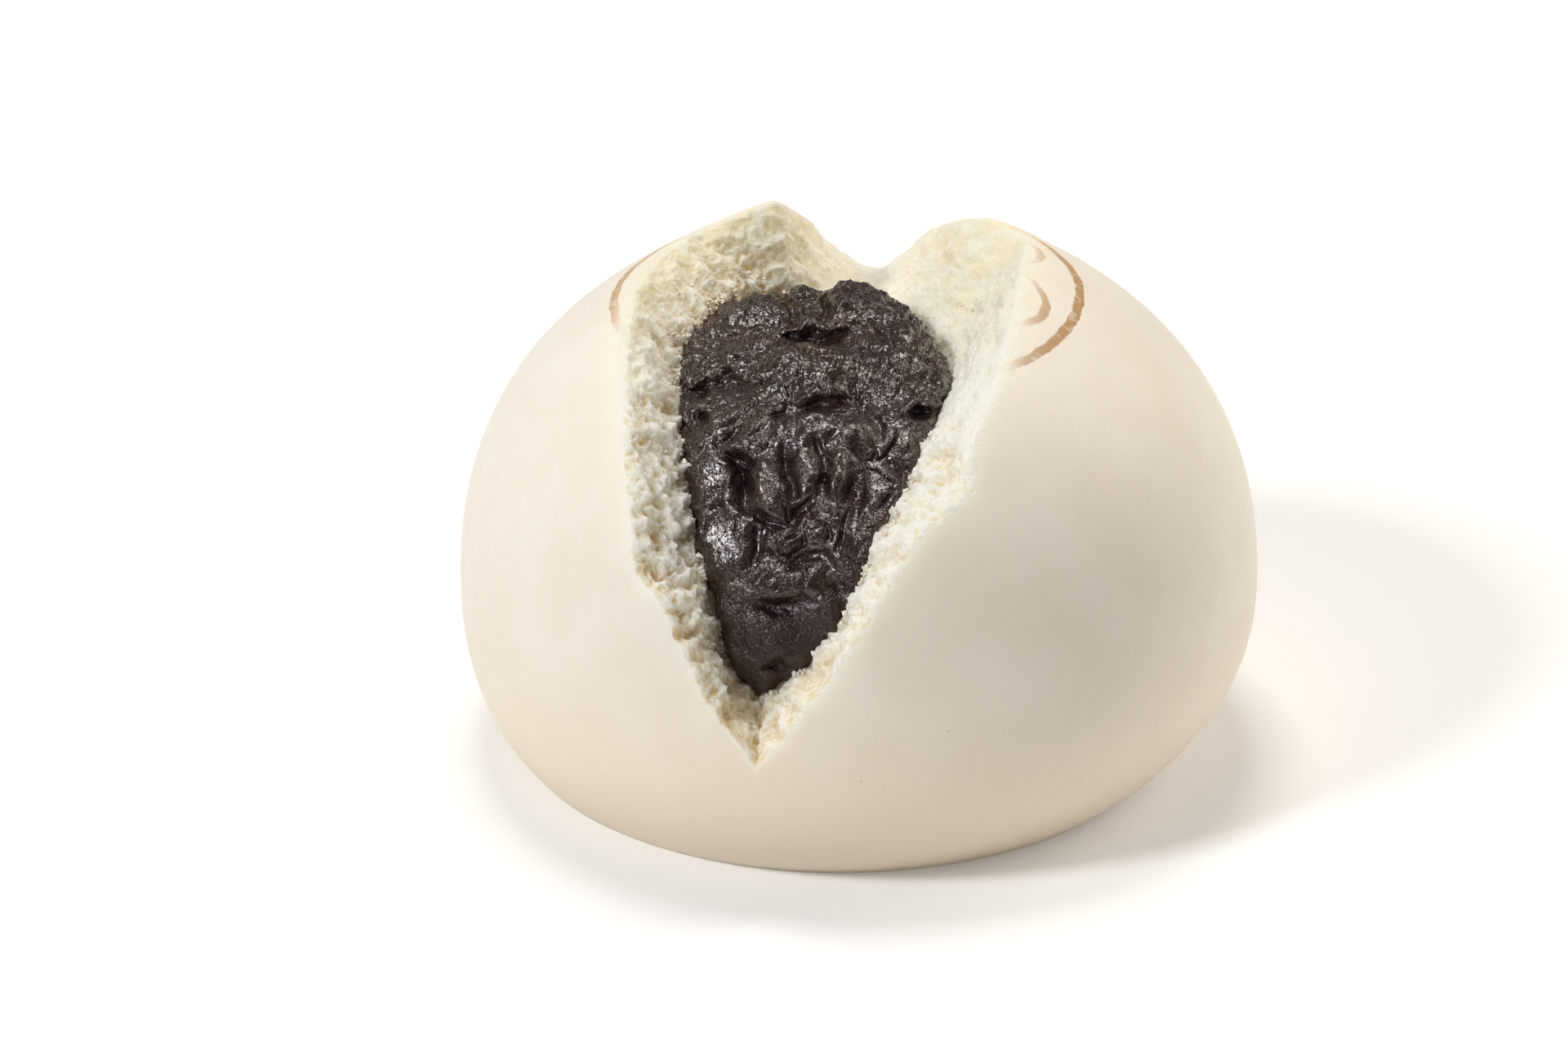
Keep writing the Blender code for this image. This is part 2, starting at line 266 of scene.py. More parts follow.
@dataclass(frozen=True)
class BunForm:
    """The whole bun before it was torn: a rounded dome on a narrower foot.

    Args:
        half_width: along X.
        half_depth: along Y.
        waist: height of the widest level.
        crown_rise: crown above the waist.
        crown_fullness: 2 is an ellipsoid, more is squarer.
        foot_drop: depth that the foot would have without the table.
        foot_fullness: the foot's own fullness.
        foot_lean: sideways shift of the foot at the table.
    """

    half_width: float = 44.8
    half_depth: float = 43.4
    waist: float = 19.4
    crown_rise: float = 39.7
    crown_fullness: float = 2.22
    foot_drop: float = 30.5
    foot_fullness: float = 2.2
    foot_lean: float = -2.1

    @property
    def centre(self) -> Array:
        """Middle of the widest level."""
        return np.array((0.0, 0.0, self.waist))

    def radius(self, directions: Array, inset: Point = (0.0, 0.0, 0.0)) -> Array:
        """Distance from the centre to the dome.

        Args:
            directions: unit vectors.
            inset: how far the dome is taken in along X, along Y and at the crown.

        Returns:
            One distance for each direction.
        """
        upper = directions[..., 2] >= 0.0
        fullness = np.where(upper, self.crown_fullness, self.foot_fullness)
        height = np.where(upper, self.crown_rise - inset[2], self.foot_drop)
        across = np.hypot(directions[..., 0] / (self.half_width - inset[0]),
                          directions[..., 1] / (self.half_depth - inset[1]))
        rise = np.abs(directions[..., 2]) / height
        return (across ** fullness + rise ** fullness) ** (-1.0 / fullness)

    def skin(self, directions: Array, swell: Array | float = 0.0) -> Array:
        """Points of the whole bun's skin.

        Args:
            directions: unit vectors from the centre.
            swell: how far the skin stands out there.

        Returns:
            One point for each direction.
        """
        points = self.centre + directions * (self.radius(directions) + swell)[..., None]
        drop = np.clip((self.waist - points[..., 2]) / self.waist, 0.0, 1.0)
        points[..., 0] += self.foot_lean * drop ** 2
        return points

    def base_directions(self, lip: Array, evenness: float) -> Array:
        """Directions to the rim of the base, one for each column of the lip.

        Args:
            lip: the lip's points.
            evenness: 0 sets the columns' feet under the lip, 1 evenly round the base.

        Returns:
            Unit vectors from the centre.
        """
        shrink = (1.0 - (self.waist / self.foot_drop) ** self.foot_fullness) ** (1.0 / self.foot_fullness)
        bearings = np.arctan2(lip[:, 1], lip[:, 0])
        turned = np.cumsum(np.concatenate(([0.0], np.mod(bearings[:-1] - bearings[1:], math.tau))))
        even = math.tau * np.arange(len(lip)) / len(lip)
        bearing = bearings[0] - (turned + (even - turned) * evenness)
        rim = np.stack((self.half_width * shrink * np.cos(bearing),
                        self.half_depth * shrink * np.sin(bearing),
                        np.full(len(lip), -self.waist)), axis=-1)
        return unit(rim)


@dataclass(frozen=True)
class Mouth:
    """The torn mouth as paired loops, evenly spaced along the lip.

    Args:
        lip: points where the skin ends.
        seat: points where the crumb meets the filling.
        inward: unit vectors across the wall, into the mouth.
        clumped: share of clumped crumb at each column.
        pitted: share of pitted crumb at each column.
    """

    lip: Array
    seat: Array
    inward: Array
    clumped: Array
    pitted: Array

    @classmethod
    def torn(cls, columns: int) -> "Mouth":
        """The mouth, read from STATIONS.

        Args:
            columns: how many points each loop has.

        Returns:
            The mouth.
        """
        lip = cls.curve([Vector(station.lip) for station in STATIONS])
        seat = cls.curve([Vector(station.seat) for station in STATIONS])
        kinds = [station.tear for station in STATIONS]
        steps = np.arange(len(lip)) / CURVE_STEPS
        clumped, pitted = (
            np.interp(steps, range(len(kinds)), [float(kind is tear) for kind in kinds], period=len(kinds))
            for tear in (Tear.CLUMPED, Tear.PITTED))
        closed = np.vstack((lip, lip[:1]))
        lengths = np.concatenate(([0.0], np.cumsum(np.linalg.norm(np.diff(closed, axis=0), axis=1))))
        targets = lengths[-1] * np.arange(columns) / columns

        def spread(values: Array) -> Array:
            """Values of the curve's points, read at the even targets."""
            return np.interp(targets, lengths, np.concatenate((values, values[:1])))

        even_lip, even_seat = (np.stack([spread(axis) for axis in loop.T], axis=-1) for loop in (lip, seat))
        along = np.roll(even_lip, -1, axis=0) - np.roll(even_lip, 1, axis=0)
        inward = unit(np.cross(along, even_lip - even_seat))
        reach = columns // SMOOTHING
        inward = unit(sum(np.roll(inward, shift, axis=0) for shift in range(-reach, reach + 1)))
        return cls(even_lip, even_seat, inward, spread(clumped), spread(pitted))

    @staticmethod
    def curve(points: list[Vector]) -> Array:
        """Dense closed curve through points, sharp where the tear turns sharply.

        Args:
            points: one for each station.

        Returns:
            CURVE_STEPS points for each station.
        """
        dense = []
        tangents = [(after - before) * ((SHARP_TANGENT if i in SHARP_STATIONS else 1.0) / 6.0)
                    for i, (before, after) in enumerate(zip(points[-1:] + points, points[1:] + points[:1]))]
        for i, point in enumerate(points):
            j = (i + 1) % len(points)
            dense.extend(interpolate_bezier(point, point + tangents[i], points[j] - tangents[j], points[j],
                                            CURVE_STEPS + 1)[:-1])
        return np.array([tuple(point) for point in dense])


@dataclass(frozen=True)
class Filling:
    """Where the filling lies, for its own surface and for the hollow under it.

    Args:
        core: the point that its hidden back is rounded about.
        back_radius: radius of its hidden back.
        facing: direction of the middle of its open face, from the bun's centre.
        inset: how far its open face lies under the skin along X, along Y and at the crown.
    """

    core: Point = (-4.5, -11.0, 33.5)
    back_radius: float = 15.0
    facing: Point = (-0.18, -math.cos(math.radians(32.0)), math.sin(math.radians(32.0)))
    inset: Point = (6.0, 5.6, 8.6)

    def towards(self) -> Array:
        """Unit vector of facing."""
        return unit(np.array(self.facing))

    def back_ring(self, seat: Array, share: float, gap: float) -> Array:
        """Ring of the hidden back.

        Args:
            seat: the loop where crumb and filling meet.
            share: 0 is the seat, 1 is the deepest point.
            gap: how far inside the hollow the ring lies.

        Returns:
            The ring's points.
        """
        arms = seat - np.array(self.core)
        lengths = np.linalg.norm(arms, axis=-1, keepdims=True)
        directions = turn_towards(arms / lengths, -self.towards(), share)
        reach = lengths + (self.back_radius - lengths) * ramp(share, 0.0, 1.0) - gap
        return np.array(self.core) + directions * reach


def cells(place: Vector, size: float) -> float:
    """Rounded grains packed side by side: 1 on top of a grain, about 0 between grains."""
    near = noise.voronoi(place / size)[0][0]
    return 1.0 - min(near / 0.85, 1.0) ** 2


def lumps(place: Vector, size: float) -> float:
    """Torn crests between rounded hollows: 1 on the crests and down to about -1 in the hollows."""
    return 1.0 - 3.2 * abs(noise.noise(place / size))


def order_of(element: BMEdge | BMFace, count: int) -> int:
    """Place of an edge or a face in a fixed order, by its vertices' numbers out of a count."""
    numbers = sorted(vertex.index for vertex in element.verts)
    return (numbers[0] * count + numbers[1]) * count + numbers[-1]


def wrap_sphere(rings: Array, fine: tuple[int, int]) -> tuple[BMesh, tuple[Array, Array]]:
    """Sphere moved onto rings of points; the first and the last ring are its poles.

    Args:
        rings: points as ring, column and axis, with an even number of columns.
        fine: first and last ring between which every column has a vertex. Others have every second one.

    Returns:
        The mesh in metres, and the rings and the columns of its vertices.
    """
    bands = rings.shape[0] - 1
    columns = rings.shape[1]
    mesh = bmesh.new()
    bmesh.ops.create_uvsphere(mesh, u_segments=columns // 2, v_segments=bands, radius=1.0)

    def place_of(vertex: BMVert) -> tuple[int, int]:
        """Ring and column that a vertex of the plain sphere lies on."""
        turn = math.atan2(vertex.co.y, vertex.co.x) / math.tau
        ring = round(math.acos(max(-1.0, min(1.0, vertex.co.z))) / math.pi * bands)
        return ring, -round(turn * columns) % columns

    level = [edge for edge in mesh.edges
             if abs(edge.verts[0].co.z - edge.verts[1].co.z) < 1e-5
             and fine[0] <= place_of(edge.verts[0])[0] <= fine[1]]
    bmesh.ops.subdivide_edges(mesh, edges=level, cuts=1)
    # Subdivision leaves them in an order that changes from run to run
    mesh.verts.sort(key=lambda vertex: np.ravel_multi_index(place_of(vertex), rings.shape[:2]))
    mesh.verts.index_update()
    for elements in (mesh.edges, mesh.faces):
        elements.sort(key=lambda element: order_of(element, len(mesh.verts)))
    places = np.array([place_of(vertex) for vertex in mesh.verts])
    for vertex, (ring, column) in zip(mesh.verts, places):
        vertex.co = Vector(rings[ring, column]) * MM
    return mesh, tuple(places.T)


def put(name: str, data: ID) -> Object:
    """New object in the scene.

    Args:
        name: its name.
        data: its mesh, camera or light.

    Returns:
        The object, at the origin.
    """
    made = bpy.data.objects.new(name, data)
    bpy.context.scene.collection.objects.link(made)
    return made


def to_data(mesh: BMesh, name: str) -> Mesh:
    """Turn a finished mesh into mesh data.

    Args:
        mesh: the finished mesh, in metres. It is freed.
        name: the data's name.

    Returns:
        The data.
    """
    data = bpy.data.meshes.new(name)
    mesh.to_mesh(data)
    mesh.free()
    return data


def to_piece(mesh: BMesh, name: str, marks: dict[str, Array], material: Material) -> Object:
    """Turn a finished mesh into a smooth piece of the object.

    Args:
        mesh: the finished mesh, in metres. It is freed.
        name: the piece's name.
        marks: values for each vertex, which the material reads as attributes.
        material: what the piece is made of.

    Returns:
        The piece.
    """
    data = to_data(mesh, name)
    data.shade_smooth()
    for title, values in marks.items():
        data.attributes.new(title, "FLOAT", "POINT").data.foreach_set("value", np.asarray(values, np.float32))
    data.materials.append(material)
    return put(name, data)


class Recipe:
    """Short hand for wiring the nodes of a material or of a node group.

    Args:
        tree: the node tree to build in.
        grain: the shared grain group, which a material places.
    """

    def __init__(self, tree: NodeTree, grain: NodeTree | None = None) -> None:
        """Keep the tree and the group."""
        self.tree = tree
        self.grain = grain

    def feed(self, node: Node, feeds: Feeds) -> None:
        """Link outputs to a node's inputs, or set the inputs to plain values.

        Args:
            node: the node.
            feeds: an output, number or colour for each input.
        """
        for key, value in feeds.items():
            socket = node.inputs[key]
            if isinstance(value, NodeSocket):
                self.tree.links.new(value, socket)
            else:
                socket.default_value = (*value, 1.0) if socket.type == "RGBA" else value

    def node(self, kind: str, feeds: Feeds | None = None, **settings: object) -> Node:
        """New node.

        Args:
            kind: the node's type name.
            feeds: what goes into its inputs.
            settings: properties to set on it first.

        Returns:
            The node.
        """
        made = self.tree.nodes.new(kind)
        for key, value in settings.items():
            setattr(made, key, value)
        self.feed(made, feeds or {})
        return made

    def math(self, operation: str, first: object, second: object = 0.0) -> NodeSocket:
        """Result of a math node on one or two values."""
        return self.node("ShaderNodeMath", {0: first, 1: second}, operation=operation).outputs[0]

    def vector(self, operation: str, first: object, second: object) -> NodeSocket:
        """Result of a vector math node on two vectors, or on a vector and its Scale."""
        feeds = {0: first, "Scale" if operation == "SCALE" else 1: second}
        return self.node("ShaderNodeVectorMath", feeds, operation=operation).outputs[0]

    def plus(self, first: object, second: object) -> NodeSocket:
        """Sum of two values."""
        return self.math("ADD", first, second)

    def times(self, first: object, second: object) -> NodeSocket:
        """Product of two values."""
        return self.math("MULTIPLY", first, second)

    def rise(self, value: object, low: float, high: float, out_low: float = 0.0,
             out_high: float = 1.0) -> NodeSocket:
        """Smooth rise of a value between two limits, mapped onto two others."""
        limits = {"Value": value, "From Min": low, "From Max": high, "To Min": out_low, "To Max": out_high}
        return self.node("ShaderNodeMapRange", limits, interpolation_type="SMOOTHSTEP").outputs["Result"]

    def blend(self, share: object, first: object, second: object, kind: str = "RGBA") -> NodeSocket:
        """Colour, or value where kind is FLOAT, between two others by a share."""
        feeds = {"Factor": share, "A": first, "B": second}
        return self.node("ShaderNodeMix", feeds, data_type=kind).outputs["Result"]

    def bump(self, height: object) -> NodeSocket:
        """Normal that follows a height in millimetres."""
        feeds = {"Height": height, "Distance": MM, "Strength": 1.0}
        return self.node("ShaderNodeBump", feeds).outputs["Normal"]

    def place(self) -> NodeSocket:
        """Object coordinates, in metres."""
        return self.node("ShaderNodeTexCoord").outputs["Object"]

    def axes(self) -> tuple[NodeSocket, ...]:
        """Object coordinates along X, Y and Z, in millimetres."""
        scaled = self.vector("SCALE", self.place(), 1.0 / MM)
        return tuple(self.node("ShaderNodeSeparateXYZ", {0: scaled}).outputs)

    def dots(self, place: NodeSocket, size: float) -> NodeSocket:
        """Distance from a place to the nearest of scattered points, which lie a size in millimetres apart."""
        feeds = {"Vector": place, "Scale": 1.0 / (size * MM)}
        return self.node("ShaderNodeTexVoronoi", feeds).outputs["Distance"]

    def mark(self, title: str) -> NodeSocket:
        """Value that the mesh carries at each vertex."""
        return self.node("ShaderNodeAttribute", attribute_name=title).outputs["Fac"]

    def speckle(self, size: float, detail: float = 3.0, stretch: float = 1.0) -> NodeSocket:
        """Output of the shared grain group at a grain size in millimetres."""
        feeds = {"Grain size": size, "Detail": detail, "Stretch": stretch}
        return self.node("ShaderNodeGroup", feeds, node_tree=self.grain).outputs["Value"]

    def speckles(self, height: float, *grain: float) -> NodeSocket:
        """Grain as speckle gives it, of a height other than 1."""
        return self.times(self.speckle(*grain), height)

    def vary(self, size: float, low: float, high: float) -> NodeSocket:
        """Grain of a size that runs between two values."""
        return self.rise(self.speckle(size), 0.0, 1.0, low, high)


def grain_group() -> NodeTree:
    """Shared node group: soft random grain of a given size in millimetres, from 0 to 1.

    Returns:
        The group, with the inputs Grain size, Detail and Stretch and the output Value.
    """
    tree = bpy.data.node_groups.new("food_grain", "ShaderNodeTree")
    for title, value in (("Grain size", 1.0), ("Detail", 3.0), ("Stretch", 1.0)):
        socket = tree.interface.new_socket(title, in_out="INPUT", socket_type="NodeSocketFloat")
        socket.default_value = value
    tree.interface.new_socket("Value", in_out="OUTPUT", socket_type="NodeSocketFloat")
    recipe = Recipe(tree)
    given = recipe.node("NodeGroupInput").outputs
    squash = recipe.node("ShaderNodeCombineXYZ", {"X": 1.0, "Y": 1.0, "Z": given["Stretch"]}).outputs[0]
    texture = recipe.node("ShaderNodeTexNoise", {
        "Vector": recipe.vector("MULTIPLY", recipe.place(), squash),
        "Scale": recipe.math("DIVIDE", 1.0 / MM, given["Grain size"]),
        "Detail": given["Detail"],
    })
    recipe.node("NodeGroupOutput", {"Value": recipe.rise(texture.outputs["Fac"], 0.3, 0.7)})
    return tree


def new_material(name: str, grain: NodeTree | None = None) -> tuple[Material, Recipe]:
    """Plain material to work on.

    Args:
        name: its name.
        grain: the shared grain group.

    Returns:
        The material, and the recipe of its nodes.
    """
    made = bpy.data.materials.new(name)
    made.use_nodes = True
    return made, Recipe(made.node_tree, grain)


@dataclass(frozen=True)
class Ornament:
    """Plain flower in a ring, stamped on the crown before the bun was torn.

    Args:
        middle: its middle, seen from above.
        ring_radius: radius of the ring.
        petal_radius: mean radius of the petal line.
        petal_swing: how far the petal line swings in and out.
        petals: number of petals.
        stroke: half width of a line.
        blur: width of its soft edge.
        lowest: level under which nothing is stamped.
        colour: the food colouring.
    """

    middle: Spot = (-1.5, -1.0)
    ring_radius: float = 25.6
    petal_radius: float = 20.4
    petal_swing: float = 2.5
    petals: int = 8
    stroke: float = 0.50
    blur: float = 0.2
    lowest: float = 43.0
    colour: Colour = (0.48, 0.27, 0.11)

    def mask(self, recipe: Recipe) -> NodeSocket:
        """Where the stamp has left its colour.

        Args:
            recipe: the dough's material.

        Returns:
            A mask from 0 to 1.
        """
        x, y, z = recipe.axes()
        across = recipe.math("SUBTRACT", x, self.middle[0])
        back = recipe.math("SUBTRACT", y, self.middle[1])
        radius = recipe.math("SQRT", recipe.plus(recipe.times(across, across), recipe.times(back, back)))
        bearing = recipe.math("ARCTAN2", back, across)
        swing = recipe.math("ABSOLUTE", recipe.math("SINE", recipe.times(bearing, self.petals / 2)))
        petal_line = recipe.plus(recipe.times(swing, 2.0 * self.petal_swing),
                                 self.petal_radius - self.petal_swing)
        to_ring = recipe.math("ABSOLUTE", recipe.math("SUBTRACT", radius, self.ring_radius))
        to_petals = recipe.math("ABSOLUTE", recipe.math("SUBTRACT", radius, petal_line))
        nearest = recipe.math("MINIMUM", to_ring, to_petals)
        wobbling = recipe.plus(nearest, recipe.speckles(0.20, 1.6))
        drawn = recipe.rise(wobbling, self.stroke, self.stroke + self.blur, 1.0, 0.0)
        worn = recipe.rise(recipe.speckle(1.3), 0.0, 0.3, 0.6, 1.0)
        return recipe.times(recipe.times(drawn, worn), recipe.rise(z, self.lowest, self.lowest + 1.0))


@dataclass(frozen=True)
class DoughFinish:
    """Steamed dough: satin skin outside, open white crumb where it is torn.

    Args:
        skin: the skin's colour.
        skin_shade: its colour in the darker blotches.
        skin_foot_and_shade: its colour near the table, partly the bun's own yellower foot and partly painted
            shade on its underside.
        speck: the rare fine specks of wheat bran.
        crumb: the crumb's colour on its tops.
        crumb_cleft_shade: its colour in the clefts, painted warm shade with some of the crumb's own beige.
        crumb_cream_and_glow: its colour on its tops where the flap is thin, the crumb's own cream with
            painted glow of light through the flap.
        cream_cleft_shade: its colour in the clefts there, painted warm shade.
        soft: how much light goes through it, from 0 to 1.
        soft_depth: how deep the light goes, in metres.
        soft_reach: share of that depth for red, green and blue.
        shine: how strongly it reflects.
    """

    skin: Colour = (0.870, 0.805, 0.710)
    skin_shade: Colour = (0.845, 0.770, 0.660)
    skin_foot_and_shade: Colour = (0.790, 0.680, 0.530)
    speck: Colour = (0.50, 0.36, 0.22)
    crumb: Colour = (1.000, 0.930, 0.810)
    crumb_cleft_shade: Colour = (0.840, 0.714, 0.485)
    crumb_cream_and_glow: Colour = (1.000, 0.848, 0.610)
    cream_cleft_shade: Colour = (0.980, 0.755, 0.480)
    soft: float = 0.75
    soft_depth: float = 0.0032
    soft_reach: Point = (1.0, 0.93, 0.84)
    shine: float = 0.35

    def crumb_colour(self, recipe: Recipe) -> NodeSocket:
        """Colour of torn crumb by its height, its grain and its place: white on the crests, painted warm
        shade in the clefts and lower down in the mouth, and a cream with painted glow on the thin flap.

        Args:
            recipe: the material.

        Returns:
            A colour.
        """
        _, y, z = recipe.axes()
        flap = recipe.times(recipe.rise(z, 40.0, 52.0), recipe.rise(y, -24.0, 4.0))
        # the thin flap's own cream, with painted glow of light through it
        cream = recipe.times(flap, recipe.vary(2.6, 0.35, 1.0))
        top = recipe.blend(cream, self.crumb, self.crumb_cream_and_glow)
        # painted warm shade for the clefts
        low = recipe.blend(flap, self.crumb_cleft_shade, self.cream_cleft_shade)
        flecks = recipe.plus(recipe.speckles(0.7, 0.4, 4.0), recipe.speckles(0.4, 1.1))
        # the height mark is the crumb's whiteness: white on the crests, painted shade in the hollows and pits
        level = recipe.plus(recipe.times(recipe.mark("height"), 0.9), flecks)
        # painted shade: crumb lower down in the mouth is darker
        sunk_shade = recipe.rise(z, 22.0, 40.0, 0.42, 0.0)
        return recipe.blend(recipe.rise(recipe.math("SUBTRACT", level, sunk_shade), -0.20, 1.10), low, top)

    def material(self, name: str, grain: NodeTree, stamp: Ornament) -> Material:
        """Material of the dough.

        Args:
            name: the material's name.
            grain: the shared grain group.
            stamp: the ornament on the crown.

        Returns:
            The material.
        """
        made, recipe = new_material(name, grain)
        torn = recipe.mark("torn")
        skin = recipe.blend(recipe.speckle(9.0), self.skin, self.skin_shade)
        # darker and yellower towards the table: the foot's own tone plus painted shade on the underside
        skin = recipe.blend(recipe.rise(recipe.axes()[2], 0.0, 30.0, 0.9, 0.0), skin, self.skin_foot_and_shade)
        away = recipe.plus(recipe.dots(recipe.place(), 2.6), recipe.speckles(0.10, 5.0))
        skin = recipe.blend(recipe.rise(away, 0.03, 0.09, 0.45, 0.0), skin, self.speck)
        skin = recipe.blend(stamp.mask(recipe), skin, stamp.colour)
        satin = recipe.vary(1.2, 0.46, 0.58)
        fine = recipe.plus(recipe.speckles(0.016, 0.45), recipe.speckles(0.022, 1.7))
        open_grain = recipe.speckles(0.11, 0.32)
        recipe.feed(made.node_tree.nodes["Principled BSDF"], {
            "Base Color": recipe.blend(torn, skin, self.crumb_colour(recipe)),
            "Roughness": recipe.blend(torn, satin, 0.62, "FLOAT"),
            "Subsurface Weight": self.soft,
            "Subsurface Radius": self.soft_reach,
            "Subsurface Scale": self.soft_depth,
            "Specular IOR Level": self.shine,
            "Normal": recipe.bump(recipe.blend(torn, fine, open_grain, "FLOAT")),
        })
        return made


@dataclass(frozen=True)
class PasteFinish:
    """Sweet bean filling: nearly black, moist, with fine glints and thin brown edges.

    Args:
        paste: the colour of its body.
        paste_upper_patches: a lighter colour that patches its upper part.
        rim: the colour of its thin edges.
        shine: how strongly it reflects.
        shine_tint: the colour of its reflections.
        wet_roughness: roughness of the moist film on its upper part.
        wet_ior: how strongly the film bends light.
    """

    paste: Colour = (0.0095, 0.0035, 0.0036)
    paste_upper_patches: Colour = (0.0260, 0.0110, 0.0100)
    rim: Colour = (0.110, 0.050, 0.020)
    shine: float = 0.68
    shine_tint: Colour = (1.0, 0.87, 0.84)
    wet_roughness: float = 0.30
    wet_ior: float = 1.8

    def granules(self, recipe: Recipe) -> NodeSocket:
        """Depth between bean granules, 0 in the middle of each.

        Args:
            recipe: the material.

        Returns:
            A value.
        """
        drift = recipe.node("ShaderNodeTexNoise", {"Vector": recipe.place(), "Scale": 1.0 / (0.8 * MM)})
        bent = recipe.vector("ADD", recipe.place(), recipe.vector("SCALE", drift.outputs["Color"], 0.5 * MM))
        away = recipe.dots(bent, 0.34)
        return recipe.times(away, away)

    def material(self, grain: NodeTree) -> Material:
        """Material of the filling.

        Args:
            grain: the shared grain group.

        Returns:
            The material.
        """
        made, recipe = new_material("bean_filling", grain)
        z = recipe.axes()[2]
        upper = recipe.rise(z, 26.0, 37.0)
        # lighter in patches towards the top
        body = recipe.blend(recipe.times(recipe.speckle(1.4), upper), self.paste, self.paste_upper_patches)
        edge = recipe.times(recipe.mark("brown"), recipe.speckle(0.9))
        moist = recipe.plus(recipe.speckles(0.10, 2.4), recipe.speckles(0.08, 0.5))
        dull = recipe.math("SUBTRACT", 0.36, recipe.times(upper, 0.23))
        wet = recipe.times(recipe.rise(recipe.speckle(0.28, 2.0), 0.32, 0.72), recipe.vary(1.8, 0.6, 1.0))
        gaps = recipe.times(self.granules(recipe), 0.080)
        strength = recipe.times(recipe.vary(2.8, 0.6, 1.2), recipe.rise(upper, 0.0, 1.0, 1.35, 1.0))
        sandy = recipe.times(recipe.math("SUBTRACT", recipe.speckles(0.040, 0.4, 2.5, 0.7), gaps), strength)
        uneven = recipe.speckles(0.035, 1.1, 2.0, 0.6)
        recipe.feed(made.node_tree.nodes["Principled BSDF"], {
            "Base Color": recipe.blend(edge, body, self.rim),
            "Roughness": recipe.plus(moist, dull),
            "Specular IOR Level": self.shine,
            "Specular Tint": self.shine_tint,
            "Coat Weight": recipe.times(recipe.rise(z, 30.0, 38.0), wet),
            "Coat Roughness": self.wet_roughness,
            "Coat IOR": self.wet_ior,
            "Normal": recipe.bump(recipe.plus(sandy, uneven)),
        })
        return made


